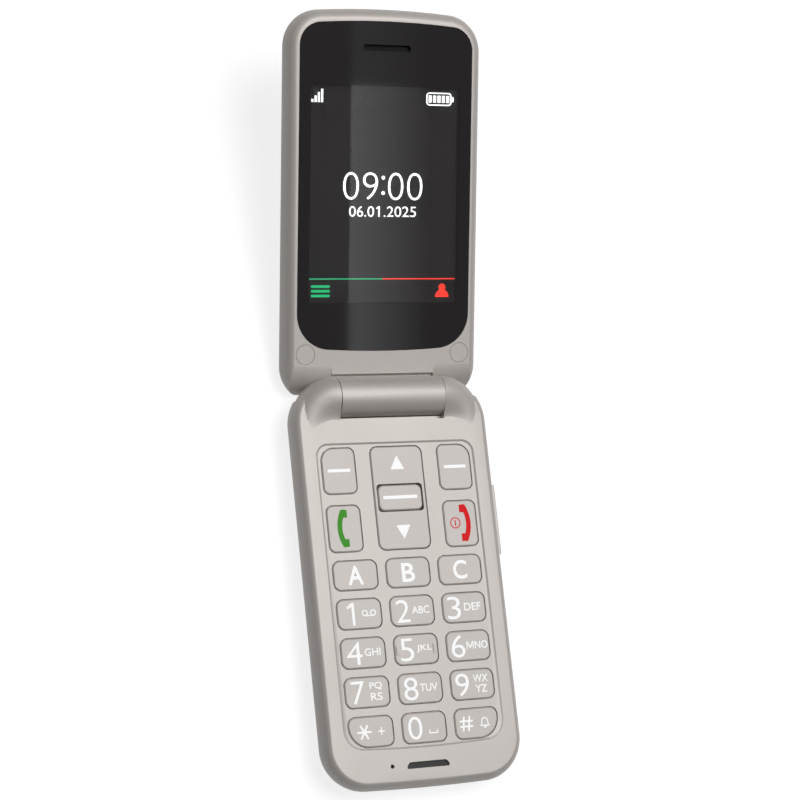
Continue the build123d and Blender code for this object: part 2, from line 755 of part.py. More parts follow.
def loudspeaker():
    body = disc(speaker_x, speaker_y, floor_top, floor_top + speaker_height, speaker_radius)
    return body - disc(speaker_x, speaker_y, floor_top, floor_top + board_clearance, speaker_radius - skin)


def antenna():
    left = -half_width + wall + board_clearance
    return block(left, left + antenna_depth, antenna_low, antenna_low + antenna_length, floor_top, board_low)


def screw(x, y, head_low, tip):
    """Cross-recessed screw that points up."""
    seat = head_low + screw_head_height
    body = disc(x, y, head_low, seat, screw_head_radius) + disc(x, y, head_low, tip, screw_radius - running_gap)
    arm = screw_head_radius * 0.6
    for wide, deep in ((arm, recess_width / 2), (recess_width / 2, arm)):
        body -= block(x - wide, x + wide, y - deep, y + deep, head_low, head_low + recess_depth)
    return body


# ---- lid, in its own frame: hinge axis at the origin, +Y to the far end, +Z out of the inner face -----
window_low_face = lid_face - window_recess - window_height
frame_low = window_low_face - frame_height
picture = lid_face - display_depth
module_low = picture - module_height
lid_floor = lid_back + skin
ear_middle = (ear_slot_low + ear_slot_high) / 2


def lid_outline(inset=0.0):
    """Plan of the lid, or of its inside when inset."""
    low = -lid_overlap if inset == 0 else lid_cavity_low + inset - wall
    low_corner = lid_hinge_corner if inset == 0 else cavity_top_corner
    return rounded_face(-half_width + inset, low, half_width - inset, lid_reach - lid_end_bulge - inset,
                        (low_corner, low_corner, lid_corner - inset, lid_corner - inset), 0, lid_end_bulge)


def window_face(grow=0.0):
    return rounded_face(-window_half - grow, window_low - grow, window_half + grow, window_high + grow,
                        (window_corner_low,) * 2 + (window_corner_high,) * 2, window_bulge_low, window_bulge_high)


def side_relief():
    """Room for the right-hand knuckle: the lid's face rolls away before it."""
    far = 2 * barrel_radius
    middle = Vector(relief_reach, lid_face - relief_roll)
    arc = ThreePointArc((middle.X, lid_face), middle + Vector(-1, 1).normalized() * relief_roll,
                        (middle.X - relief_roll, middle.Y))
    edges = [Line((relief_reach, far), (relief_reach, lid_face)), arc,
             Line(arc @ 1, (-far, middle.Y)), Line((-far, middle.Y), (-far, far)), Line((-far, far), (relief_reach, far))]
    return side_profile(edges, tongue_half, 2 * half_width)


def lid_front_housing():
    """Inner shell of the lid: window seat, neck and the barrel between the knuckles."""
    body = rolled(lid_outline(), lid_parting, lid_face, lid_front_roll)
    body -= both_sides(side_relief())
    groove = Polyline((-neck_end, 0), (neck_end + neck_bevel, 0), (neck_end + neck_bevel, lid_face),
                      (neck_end, lid_face - neck_bevel), (neck_end, lid_face - neck_step),
                      (-neck_end, lid_face - neck_step), close=True)
    body -= side_profile(groove, -tongue_half, tongue_half)
    body += bar(-barrel_half, barrel_half, 0, 0, barrel_radius)
    body -= slab(lid_outline(wall), 2 * lid_back, frame_low)
    body -= slab(lid_outline(wall - lip_width - fit_gap), 2 * lid_back, lid_parting + lip_height + fit_gap)
    body -= slab(window_face(fit_gap), window_low_face, 0)
    body -= display_box(fit_gap, lid_back, 0)
    body -= block(-ear_slot_half - mesh_border - fit_gap, ear_slot_half + mesh_border + fit_gap,
                  ear_slot_low - mesh_border - fit_gap, ear_slot_high + mesh_border + fit_gap,
                  window_low_face - mesh_height, 0)
    body -= block(-ear_slot_half, ear_slot_half, ear_slot_low, ear_slot_high, lid_back, 0)
    for x in (-cap_x, cap_x):
        body -= disc(x, cap_y, lid_face - cap_height, 0, cap_radius + fit_gap)
        body -= disc(x, cap_y, lid_face - cap_height - screw_head_height - fit_gap, 0, screw_head_radius + fit_gap)
        body -= disc(x, cap_y, lid_back, 0, screw_radius + fit_gap)
    body -= keyed_bar(-barrel_half, -barrel_half + cartridge_length + fit_gap, cartridge_radius + running_gap,
                      cartridge_flat + running_gap)
    return body - bar(barrel_half - shaft_length - fit_gap, barrel_half, 0, 0, shaft_radius + running_gap)


def lid_rear_housing():
    """Outer shell of the lid; its back curves down round the hinge."""
    body = rolled(lid_outline(), lid_parting, lid_back, lid_back_roll)
    centre = (lid_shell_middle, -lid_shell_rise)
    tip = lid_shell_middle - lid_shell_reach
    curve = EllipticalCenterArc(centre, lid_shell_reach, -lid_shell_rise - lid_back, 180, arc_size=quarter_turn)
    far = 2 * lid_reach
    edges = [curve, Line(curve @ 1, (far, lid_back)), Line((far, lid_back), (far, 0)),
             Line((far, 0), (tip, 0)), Line((tip, 0), curve @ 0)]
    body &= side_profile(edges, -2 * half_width, 2 * half_width)
    body -= both_sides(side_relief())
    body -= slab(lid_outline(wall), lid_floor, 0)
    body += slab(lid_outline(wall - lip_width), lid_floor, lid_parting + lip_height) - slab(lid_outline(wall),
                                                                                           lid_floor, 0)
    for x in (-1, 1):
        for y in (display_low + post_inset, display_high - post_inset):
            body += disc(x * (display_half - post_inset / 2), y, lid_floor, module_low, post_radius)
        body -= disc(x * cap_x, cap_y, lid_floor, 0, screw_radius)
    body -= disc(0, camera_y, 2 * lid_back, lid_back + lens_height + fit_gap, camera_radius + fit_gap)
    body -= disc(0, camera_y, 2 * lid_back, 0, camera_hole)
    return body - disc(flash_x, camera_y, 2 * lid_back, 0, flash_radius + fit_gap)


def display_box(gap, low, high):
    return block(-display_half - module_border - gap, display_half + module_border + gap,
                 display_low - module_foot - gap, display_high + module_border + gap, low, high)


def display_window():
    """Flat window over the whole inner face, with the earpiece's slot."""
    slot = Pos(0, ear_middle) * SlotOverall(2 * ear_slot_half, ear_slot_high - ear_slot_low)
    return slab(window_face(), window_low_face, lid_face - window_recess) - slab(slot, 2 * lid_back, 0)


def earpiece_mesh():
    return block(-ear_slot_half - mesh_border, ear_slot_half + mesh_border, ear_slot_low - mesh_border,
                 ear_slot_high + mesh_border, window_low_face - mesh_height, window_low_face)


def earpiece_speaker():
    body = block(-ear_speaker_width / 2, ear_speaker_width / 2, ear_middle - ear_speaker_length / 2,
                 ear_middle + ear_speaker_length / 2, frame_low - ear_speaker_height, frame_low)
    return fillet(body.edges().filter_by(Axis.Z), skin)


def camera_lens():
    return disc(0, camera_y, lid_back + fit_gap, lid_back + fit_gap + lens_height, camera_radius)


def camera_module():
    """Lens barrel in its hole and the sensor's box on the lid's floor."""
    body = chip(0, camera_y, lid_floor, lid_floor + camera_module_height, camera_module_size)
    return body + disc(0, camera_y, lid_back + fit_gap + lens_height, lid_floor, camera_hole - fit_gap)


def flash_led():
    return disc(flash_x, camera_y, lid_back, lid_floor + skin, flash_radius)


def screw_caps():
    return [disc(x, cap_y, lid_face - cap_height, lid_face, cap_radius) for x in (-cap_x, cap_x)]


def lid_screws():
    seat = lid_face - cap_height - screw_head_height
    return [Pos(x, cap_y, 0) * Rot(180, 0, 0) * screw(0, 0, -seat - screw_head_height, -lid_floor)
            for x in (-cap_x, cap_x)]


def display_flex():
    """Ribbon from the display's foot to the neck of the lid."""
    low = lid_cavity_low
    ribbon = block(flex_left, flex_left + flex_width, low, display_low, module_low - flex_height, module_low)
    return ribbon


def hinge_cartridge():
    """Cam and spring in a keyed case inside the barrel; the cam shaft runs in its open end."""
    case = keyed_bar(-barrel_half, -barrel_half + cartridge_length, cartridge_radius, cartridge_flat)
    return case - bar(-barrel_half, -barrel_half + shaft_length + fit_gap, 0, 0, shaft_radius + running_gap)


def hinge_cam_shaft():
    """Keyed in the left-hand knuckle, round in the cartridge."""
    key = keyed_bar(-knuckle_face - shaft_length, -barrel_half, shaft_radius, socket_flat)
    return on_axis(key + bar(-barrel_half, -barrel_half + shaft_length, 0, 0, shaft_radius))


def hinge_pin():
    """Hollow pin on the right, which lets the lid's cable through."""
    ends = (barrel_half - shaft_length, knuckle_face + shaft_length)
    return on_axis(bar(*ends, 0, 0, shaft_radius) - bar(*ends, 0, 0, cable_bore))


# ---- write every piece --------------------------------------------------------------------------
base_pieces = {
    "base_front_housing": base_front_housing(), "base_rear_housing": base_rear_housing(),
    "battery_cover": battery_cover(), "nav_rocker": nav_rocker(), "volume_rocker": volume_rocker(),
    "alarm_key": alarm_key(), "key_mat": key_mat(), "dome_sheet": dome_sheet(), "main_board": main_board(),
    "shield_can": shield_can(), "usb_connector": usb_connector(), "battery_pack": battery_pack(),
    "battery_contacts": battery_contacts(), "sim_holder": sim_holder(), "loudspeaker": loudspeaker(),
    "antenna": antenna(), "hinge_cam_shaft": hinge_cam_shaft(), "hinge_pin": hinge_pin(),
    "microphone": disc(mic_x, hinge_y + mic_y, board_top, plate_low, mic_radius),
    "vibration_motor": bar(motor_x, motor_x + motor_length, motor_y, floor_top + motor_radius, motor_radius),
    "lid_sensor": chip(magnet_x, hinge_y - magnet_y, board_low - chip_height, board_low, chip_size),
    "sound_grille": slab(sound_slot(-fit_gap / 2), plate_low, base_thickness - skin / 2),
    "alarm_switch": chip(alarm_x, alarm_y, board_low - chip_height, board_low, chip_size),
}
base_pieces.update({name: single_key(name) for name in keys})
base_screws = [screw(x, y, cover_height, plate_low - skin / 2) for x, y in screw_places()]

lid_pieces = {
    "lid_front_housing": lid_front_housing(), "lid_rear_housing": lid_rear_housing(),
    "display_window": display_window(), "earpiece_mesh": earpiece_mesh(), "earpiece_speaker": earpiece_speaker(),
    "lcd_module": display_box(0, module_low, picture), "camera_lens": camera_lens(),
    "camera_module": camera_module(), "flash_led": flash_led(), "display_flex": display_flex(),
    "hinge_cartridge": hinge_cartridge(),
    "lid_magnet": chip(magnet_x, magnet_y, lid_floor, lid_floor + magnet_size / 2, magnet_size),
    "lid_board": block(-lid_board_half, lid_board_half, display_low + lid_board_start,
                       display_high - lid_board_end, lid_floor, lid_floor + board_height),
}
lid_groups = {"screw_caps": screw_caps(), "lid_screws": lid_screws()}

for name, shape in base_pieces.items():
    save(shape, name)
for name, shape in lid_pieces.items():
    save(in_lid(shape), name)
for name, shapes in lid_groups.items():
    save(in_lid(Compound(children=shapes)), name)
save(Compound(children=base_screws), "base_screws")
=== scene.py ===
"""Looks of a large-key clamshell phone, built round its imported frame. Lengths are metres unless named mm."""
import json
import math

import bpy
from mathutils import Matrix, Vector


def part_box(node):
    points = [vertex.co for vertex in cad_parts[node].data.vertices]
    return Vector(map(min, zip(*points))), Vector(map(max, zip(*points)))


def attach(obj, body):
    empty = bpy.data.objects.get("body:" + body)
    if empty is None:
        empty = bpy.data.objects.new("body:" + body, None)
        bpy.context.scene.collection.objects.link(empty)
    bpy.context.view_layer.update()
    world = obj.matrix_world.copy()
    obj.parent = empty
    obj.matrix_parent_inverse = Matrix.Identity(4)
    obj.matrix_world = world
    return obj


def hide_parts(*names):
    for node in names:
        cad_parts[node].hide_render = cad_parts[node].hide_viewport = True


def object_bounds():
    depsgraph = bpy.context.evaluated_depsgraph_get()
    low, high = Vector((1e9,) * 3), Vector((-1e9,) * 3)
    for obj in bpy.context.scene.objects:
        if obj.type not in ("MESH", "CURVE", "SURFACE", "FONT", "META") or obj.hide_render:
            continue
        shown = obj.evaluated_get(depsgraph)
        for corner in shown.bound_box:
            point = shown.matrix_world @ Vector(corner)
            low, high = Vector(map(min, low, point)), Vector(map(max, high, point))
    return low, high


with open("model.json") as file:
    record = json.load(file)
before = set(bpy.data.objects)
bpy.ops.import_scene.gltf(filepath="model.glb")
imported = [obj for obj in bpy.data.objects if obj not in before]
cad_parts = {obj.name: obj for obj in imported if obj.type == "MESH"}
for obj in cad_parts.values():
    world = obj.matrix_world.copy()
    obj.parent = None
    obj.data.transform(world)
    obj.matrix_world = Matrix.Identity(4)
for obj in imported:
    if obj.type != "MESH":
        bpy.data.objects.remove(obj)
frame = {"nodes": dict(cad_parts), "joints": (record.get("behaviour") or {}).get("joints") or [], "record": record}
cad_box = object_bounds()

MM = 0.001
HINGE_JOINT = next(joint for joint in frame["joints"] if joint["name"] == "lid_hinge")
HINGE = Vector(HINGE_JOINT["pos_m"])
LID_TILT = math.radians(180 - HINGE_JOINT["range_deg"][1])
LID = Matrix.Translation(HINGE) @ Matrix.Rotation(LID_TILT, 4, "X")   # lid's own frame, hinge at its origin
KEY_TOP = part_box("key_a")[1].z
BODY_OF = {node: body for body, nodes in frame["record"]["behaviour"]["bodies"].items() for node in nodes}
SLOT_OF = {part["node"]: part["material_slot"] for part in frame["record"]["subparts"]}


# ---- working helpers ----------------------------------------------------------------------------
def only(piece):
    """Makes the piece the one thing that operators act on."""
    bpy.ops.object.select_all(action="DESELECT")
    piece.select_set(True)
    bpy.context.view_layer.objects.active = piece


def in_place(piece):
    """Applies place, turn and size, so that the piece's object sits at the origin."""
    only(piece)
    bpy.ops.object.transform_apply(location=True, rotation=True, scale=True)
    return piece


def smooth(piece, degrees):
    """Smooth shading over every edge that turns by less than the angle."""
    only(piece)
    bpy.ops.object.shade_smooth_by_angle(angle=math.radians(degrees))


def apply_modifier(piece, kind, **settings):
    """Adds a modifier of the kind, sets it and applies it."""
    only(piece)
    modifier = piece.modifiers.new(kind.lower(), kind)
    for name, value in settings.items():
        setattr(modifier, name, value)
    bpy.ops.object.modifier_apply(modifier=modifier.name)


def finish_piece(piece, name, material, body):
    """Names and paints a piece, and puts it on its body."""
    piece.name = name
    piece.data.materials.clear()
    piece.data.materials.append(material)
    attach(piece, body)


# ---- materials ----------------------------------------------------------------------------------
def new_material(name):
    """Material with its node tree and its shader."""
    material = bpy.data.materials.new(name)
    material.use_nodes = True
    tree = material.node_tree
    return material, tree, tree.nodes["Principled BSDF"]


def object_noise(tree, scale, detail=2.0):
    """Noise on the piece's own coordinates, scale in features per metre."""
    place = tree.nodes.new("ShaderNodeTexCoord")
    noise = tree.nodes.new("ShaderNodeTexNoise")
    noise.inputs["Scale"].default_value = scale
    noise.inputs["Detail"].default_value = detail
    tree.links.new(place.outputs["Object"], noise.inputs["Vector"])
    return noise


RAMP_START, RAMP_END = 0.3, 0.7              # most of the noise lies between them


def ramp(tree, factor, low, high):
    """Colour ramp from low to high over the noise's usual values."""
    node = tree.nodes.new("ShaderNodeValToRGB")
    node.color_ramp.elements[0].position = RAMP_START
    node.color_ramp.elements[1].position = RAMP_END
    node.color_ramp.elements[0].color = (*low, 1)
    node.color_ramp.elements[1].color = (*high, 1)
    tree.links.new(factor, node.inputs["Fac"])
    return node.outputs["Color"]


def value_range(tree, factor, low, high, span=(0.0, 1.0)):
    """Value from low to high while the factor goes through the span."""
    node = tree.nodes.new("ShaderNodeMapRange")
    node.inputs["From Min"].default_value, node.inputs["From Max"].default_value = span
    node.inputs["To Min"].default_value = low
    node.inputs["To Max"].default_value = high
    tree.links.new(factor, node.inputs["Value"])
    return node.outputs["Result"]


def combine(tree, operation, first, second):
    """Result of a sum or product of two values."""
    node = tree.nodes.new("ShaderNodeMath")
    node.operation = operation
    tree.links.new(first, node.inputs[0])
    tree.links.new(second, node.inputs[1])
    return node.outputs["Value"]


def bumps(tree, shader, height, distance):
    """Relief as deep as the distance where the height goes from 0 to 1."""
    node = tree.nodes.new("ShaderNodeBump")
    node.inputs["Distance"].default_value = distance
    tree.links.new(height, node.inputs["Height"])
    tree.links.new(node.outputs["Normal"], shader.inputs["Normal"])


CLOUD_SCALE, CLOUD_DETAIL = 60.0, 3.0      # broad unevenness of the gloss


def finish_material(name, colour, roughness, metallic=0.0, spread=0.04, grain=4000.0, relief=0.004 * MM,
                    coat=0.0, rough_spread=0.06):
    """Painted, moulded or plated surface: slight mottling of colour and gloss and a fine grain."""
    material, tree, shader = new_material(name)
    speck = object_noise(tree, grain)
    cloud = object_noise(tree, CLOUD_SCALE, CLOUD_DETAIL)
    dark = [channel * (1 - spread) for channel in colour]
    light = [min(1.0, channel * (1 + spread)) for channel in colour]
    tree.links.new(ramp(tree, speck.outputs["Fac"], dark, light), shader.inputs["Base Color"])
    low, high = roughness - rough_spread / 2, roughness + rough_spread / 2
    tree.links.new(value_range(tree, cloud.outputs["Fac"], low, high), shader.inputs["Roughness"])
    shader.inputs["Metallic"].default_value = metallic
    shader.inputs["Coat Weight"].default_value = coat
    bumps(tree, shader, speck.outputs["Fac"], relief)
    return material


INK_GRAIN = 900.0
INK_THIN_SPOTS = 0.96        # colour where the print is thinner
INK_ROUGHNESS, INK_SPECULAR = 0.6, 0.15


def printed_ink(name, colour, glow=0.0):
    """Thin matt layer; on key print the glow is painted light that keeps the white print bright, and on the
    display it lights what the display shows.
    """
    material, tree, shader = new_material(name)
    cloud = object_noise(tree, INK_GRAIN)
    dark = [channel * INK_THIN_SPOTS for channel in colour]
    tree.links.new(ramp(tree, cloud.outputs["Fac"], dark, colour), shader.inputs["Base Color"])
    shader.inputs["Roughness"].default_value = INK_ROUGHNESS
    shader.inputs["Specular IOR Level"].default_value = INK_SPECULAR
    if glow:
        shader.inputs["Emission Color"].default_value = (*colour, 1)
        shader.inputs["Emission Strength"].default_value = glow
    return material


SMUDGE_SCALE = 40.0
GLASS_DULL, GLASS_CLEAN = (0.95, 0.95, 0.95), (0.97, 0.97, 0.97)
GLASS_IOR = 1.35             # low, since both faces of the window reflect


def clear_glass():
    """Clear field of the window, its clearness a little uneven."""
    material, tree, shader = new_material("clear_glass")
    smudge = object_noise(tree, SMUDGE_SCALE)
    tree.links.new(ramp(tree, smudge.outputs["Fac"], GLASS_DULL, GLASS_CLEAN), shader.inputs["Base Color"])
    shader.inputs["Roughness"].default_value = 0.0
    shader.inputs["Transmission Weight"].default_value = 1.0
    shader.inputs["IOR"].default_value = GLASS_IOR
    return material


def make_materials():
    """Every finish of the phone, by the name that the pieces use."""
    return {
        "shell": finish_material("champagne_paint", (0.585, 0.546, 0.517), 0.52, metallic=0.3),
        "key": finish_material("key_paint", (0.62, 0.58, 0.55), 0.48, metallic=0.1),
        "window": finish_material("window_black", (0.0262, 0.0238, 0.0250), 0.05, spread=0.1, relief=0,
                                  rough_spread=0.01),
        "dark": finish_material("dark_plastic", (0.03, 0.03, 0.032), 0.5),
        "steel": finish_material("plated_steel", (0.6, 0.6, 0.62), 0.3, metallic=1.0),
        "rubber": finish_material("grey_rubber", (0.22, 0.21, 0.21), 0.7),
        "board": finish_material("solder_mask", (0.02, 0.10, 0.04), 0.4),
        "glass": clear_glass(),
        "lens": finish_material("coated_lens", (0.010, 0.012, 0.030), 0.04, spread=0.2, relief=0, coat=1.0,
                                rough_spread=0.01),
        "flash": finish_material("flash_phosphor", (0.75, 0.66, 0.30), 0.35, spread=0.1),
        "mesh": finish_material("dark_mesh", (0.020, 0.020, 0.021), 0.6, grain=9000.0),
        # earpiece mesh coloured near-black: painted shade of the deep slot it sits in
        "earpiece": printed_ink("earpiece_painted_shade", (0.004, 0.004, 0.004)),
        # the white key print glows a little: painted light that keeps it bright
        "white_ink_painted_glow": printed_ink("white_print_painted_glow", (0.98, 0.98, 0.98), 0.28),
        "green_ink": printed_ink("green_print", (0.073, 0.38, 0.032)),
        "red_ink": printed_ink("red_print", (0.90, 0.009, 0.014)),
        "lit_white": printed_ink("lit_white", (1.0, 1.0, 1.0), 1.0),
        "lit_green": printed_ink("lit_green", (0.02, 0.36, 0.14), 1.0),
        "lit_red": printed_ink("lit_red", (0.86, 0.045, 0.03), 1.0),
        # dim grey glow of the display's panel: its backlight, and painted light in place of the room light that
        # the glass keeps off it
        "panel": printed_ink("panel_backlight_and_painted_light", (0.0168, 0.0152, 0.0158), 1.0),
    }


# ---- carried-over CAD nodes ---------------------------------------------------------------------
SLOT_MATERIAL = {"champagne_shell": "shell", "key_plastic": "key", "dark_plastic": "dark",
                 "inner_plastic": "dark", "steel": "steel", "black_window": "window", "rubber": "rubber",
                 "board": "board"}
NODE_MATERIAL = {"earpiece_mesh": "earpiece", "sound_grille": "mesh"}


def paint_frame(materials):
    """Gives each CAD node the finish of its slot, or its own where it has one."""
    for name, node in frame["nodes"].items():
        node.data.materials.clear()
        node.data.materials.append(materials[NODE_MATERIAL.get(name, SLOT_MATERIAL[SLOT_OF[name]])])


# ---- flat print and screen content --------------------------------------------------------------
PRINT_HEIGHT = 0.02          # mm that a print stands over its face
PRINT_ROOT = 0.01            # mm that it reaches into it
LAYER = 0.006                # mm between prints that cross
BASE_PLANE = Matrix.Translation((0, HINGE.y, KEY_TOP))
LCD_TOP = max((LID.inverted() @ vertex.co).z for vertex in frame["nodes"]["lcd_module"].data.vertices)
GLASS_TOP = max((LID.inverted() @ vertex.co).z for vertex in frame["nodes"]["display_window"].data.vertices)
LCD_PLANE = LID @ Matrix.Translation((0, 0, LCD_TOP))
PICTURE_HALF, PICTURE_LOW, PICTURE_HIGH = 21.6, 25.0, 82.6   # mm from the lid's middle and from the hinge
PANEL_MARGIN = 0.7           # mm that the lit panel reaches under the printed border
# Slot of what carries each print: a key or rocker on its own body, and the window on the lid.
SLOT_FOR_PRINT = {body: SLOT_OF[nodes[0]] for body, nodes in frame["record"]["behaviour"]["bodies"].items()}
SLOT_FOR_PRINT["lid"] = "black_window"


def lay_flat(piece, plane, target, base_height=0.0):
    """Stretches a flat piece over a rectangle of the plane (left, low, right, high in mm) and applies it."""
    corners = [vertex.co for vertex in piece.data.vertices]
    low = [min(corner[axis] for corner in corners) for axis in range(3)]
    high = [max(corner[axis] for corner in corners) for axis in range(3)]
    left, bottom, right, top = target
    wanted = ((left, right), (bottom, top), (base_height - PRINT_ROOT, base_height + PRINT_HEIGHT))
    scale = [(wanted[axis][1] - wanted[axis][0]) * MM / (high[axis] - low[axis]) for axis in range(3)]
    shift = [wanted[axis][0] * MM - low[axis] * scale[axis] for axis in range(3)]
    piece.matrix_world = plane @ Matrix.Translation(shift) @ Matrix.Diagonal((*scale, 1))
    return in_place(piece)


TEXT_EXTRUDE, SHAPE_EXTRUDE = 0.01, 0.5      # any thickness: lay_flat brings a print to its height
TEXT_STEPS = 6               # steps in each curve of a character


def print_text(text, name, material, body, plane, target, weight, base_height=0.0):
    """Raised print of generic characters, as wide and high as the target rectangle."""
    bpy.ops.object.text_add(location=(0, 0, 0))
    piece = bpy.context.object
    piece.data.body = text
    piece.data.offset = weight
    piece.data.extrude = TEXT_EXTRUDE
    piece.data.resolution_u = TEXT_STEPS
    only(piece)
    bpy.ops.object.convert(target="MESH")
    piece = lay_flat(bpy.context.object, plane, target, base_height)
    finish_piece(piece, name, material, body)


def print_shape(outlines, name, material, body, plane, base_height=0.0):
    """Raised print filled between closed outlines of points in mm; an outline inside another is a hole."""
    curve = bpy.data.curves.new(name, "CURVE")
    curve.dimensions = "2D"
    curve.fill_mode = "BOTH"
    curve.extrude = SHAPE_EXTRUDE
    for outline in outlines:
        line = curve.splines.new("POLY")
        line.points.add(len(outline) - 1)
        for point, (x, y) in zip(line.points, outline):
            point.co = (x, y, 0, 1)
        line.use_cyclic_u = True
    piece = bpy.data.objects.new(name, curve)
    bpy.context.collection.objects.link(piece)
    only(piece)
    bpy.ops.object.convert(target="MESH")
    piece = bpy.context.object
    xs = [x for outline in outlines for x, y in outline]
    ys = [y for outline in outlines for x, y in outline]
    piece = lay_flat(piece, plane, (min(xs), min(ys), max(xs), max(ys)), base_height)
    finish_piece(piece, name, material, body)


def arc(middle_x, middle_y, radius, start, end, steps):
    """Points on an arc, angles in degrees."""
    return [(middle_x + radius * math.cos(math.radians(start + (end - start) * step / steps)),
             middle_y + radius * math.sin(math.radians(start + (end - start) * step / steps)))
            for step in range(steps + 1)]


def circle(middle_x, middle_y, radius, steps=32):
    """Points round a circle, the first not repeated."""
    return arc(middle_x, middle_y, radius, 0, 360, steps)[:-1]


def bar(start, end, width):
    """Straight stroke between two points."""
    (x, y), (far_x, far_y) = start, end
    length = math.hypot(far_x - x, far_y - y)
    aside_x, aside_y = (y - far_y) / length * width / 2, (far_x - x) / length * width / 2
    return [(x + aside_x, y + aside_y), (x - aside_x, y - aside_y),
            (far_x - aside_x, far_y - aside_y), (far_x + aside_x, far_y + aside_y)]


CORNER_STEPS = 8


def rounded_rectangle(left, low, right, high, radius):
    """Points round a rectangle, counter-clockwise from its right side's upper end."""
    corners = ((right - radius, high - radius, 0), (left + radius, high - radius, 90),
               (left + radius, low + radius, 180), (right - radius, low + radius, 270))
    return [point for x, y, start in corners for point in arc(x, y, radius, start, start + 90, CORNER_STEPS)]


def through(far_x, half_height, near_x, steps=20):
    """Arc through (far_x, half_height), (near_x, 0) and (far_x, -half_height)."""
    sag = far_x - near_x
    radius = (half_height ** 2 + sag ** 2) / (2 * sag)
    spread = math.degrees(math.asin(half_height / radius))
    return arc(near_x + radius, 0, radius, 180 - spread, 180 + spread, steps)


# The flag of a 1, in shares of its height: where it leaves the upright, and how far to the left and how high
# its two outer corners are.
FLAG_ROOT = 0.847
FLAG_TIP = ((0.203, 0.729), (0.237, 0.814))


def figure_one(right, low, height, stroke):
    """Outline of a 1 whose upright ends at the right, with its flag to the left."""
    left = right - stroke
    upright = [(left, low + height), (right, low + height), (right, low), (left, low)]
    return (upright + [(left, low + FLAG_ROOT * height)]
            + [(left - across * height, low + up * height) for across, up in FLAG_TIP])


# An M in mm: widths of a stroke's top, an upright and half the middle's foot, then heights of the notch, of
# the inner corners and of the middle's foot.
M_TOP, M_STEM, M_TIP = 0.34, 0.26, 0.1
M_NOTCH, M_PIT, M_FOOT = 0.72, 1.5, 0.15


def letter_m(left, low, right, high):
    """Outline of an M."""
    middle = (left + right) / 2
    return [(left, low), (left, high), (left + M_TOP, high), (middle, low + M_NOTCH), (right - M_TOP, high),
            (right, high), (right, low), (right - M_STEM, low), (right - M_STEM, low + M_PIT),
            (middle + M_TIP, low + M_FOOT), (middle - M_TIP, low + M_FOOT),
            (left + M_STEM, low + M_PIT), (left + M_STEM, low)]


HANDSET_HEIGHT, HANDSET_WIDTH = 10.0, 3.0    # mm
EAR_HEIGHT = 2.15            # each end of the handset
BACK_BOW, BACK_SHORT = 1.05, 0.5             # how far its back bows, and how far from the ends it stops
GRIP_NEAR, GRIP_FAR = 1.36, 1.9              # inner edge at its middle and beside the ears
# Points from the back to the front of an ear: how far from the back, how far below the end.
EAR_CORNER = ((1.2, 0.2), (1.4, 0.05), (1.65, 0), (HANDSET_WIDTH, 0.1))


def handset(back_x, middle_y, side):
    """Upright receiver with its back at back_x, opening to the side given as 1 or -1."""
    half = HANDSET_HEIGHT / 2
    outer = through(BACK_BOW, half - BACK_SHORT, 0)
    corner = [(x, half - drop) for x, drop in EAR_CORNER]
    inner = through(GRIP_FAR, half - EAR_HEIGHT, GRIP_NEAR)
    outline = (outer + [(x, -y) for x, y in corner] + [(HANDSET_WIDTH, -half + EAR_HEIGHT)]
               + inner[::-1] + [(HANDSET_WIDTH, half - EAR_HEIGHT)] + corner[::-1])
    return [(back_x + side * x, middle_y + y) for x, y in outline]


# Places in mm across from the middle of the phone.
DIGITS = {  # key: (character, its left, its right)
    "key_2": ("2", -4.6, -0.75), "key_3": ("3", 10.2, 14.0),
    "key_4": ("4", -19.8, -15.4), "key_5": ("5", -4.6, -0.75), "key_6": ("6", 10.2, 14.1),
    "key_7": ("7", -19.5, -15.8), "key_8": ("8", -4.65, -0.7), "key_9": ("9", 10.2, 14.1),
    "key_0": ("0", -4.6, -0.65)}
LETTERS = {  # key: rows of (characters, left, right)
    "key_2": [("ABC", -0.1, 4.9)], "key_3": [("DEF", 15.1, 19.9)], "key_4": [("GHI", -14.7, -10.2)],
    "key_5": [("JKL", 0.1, 4.5)], "key_6": [("NO", 17.0, 20.7)], "key_8": [("TUV", -0.1, 4.9)],
    "key_7": [("PQ", -14.3, -10.8), ("RS", -14.2, -10.9)], "key_9": [("WX", 15.4, 19.7), ("YZ", 15.9, 19.2)]}
CAPITALS = (("key_a", 4.3), ("key_b", 3.7), ("key_c", 4.0))   # key, width of its letter
LETTER_M = (14.6, 16.65)     # left and right of the M of key 6, drawn by letter_m
ONE_RIGHT, ONE_STROKE = -16.45, 0.7          # the 1, drawn by figure_one
DIGIT_HEIGHT, LETTER_HEIGHT, CAPITAL_HEIGHT = 5.9, 2.0, 5.0
LETTER_RISE = 0.15           # letters' middle over the key's middle
ROW_GAP = 0.75               # between two rows of letters
DIGIT_WEIGHT, CAPITAL_WEIGHT, LETTER_WEIGHT = -0.008, 0.014, 0.008


def key_middle(key):
    """Middle of a key in mm, on the plane that the prints are placed in."""
    low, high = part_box(key)
    return ((low.x + high.x) / 2 / MM, ((low.y + high.y) / 2 - HINGE.y) / MM)


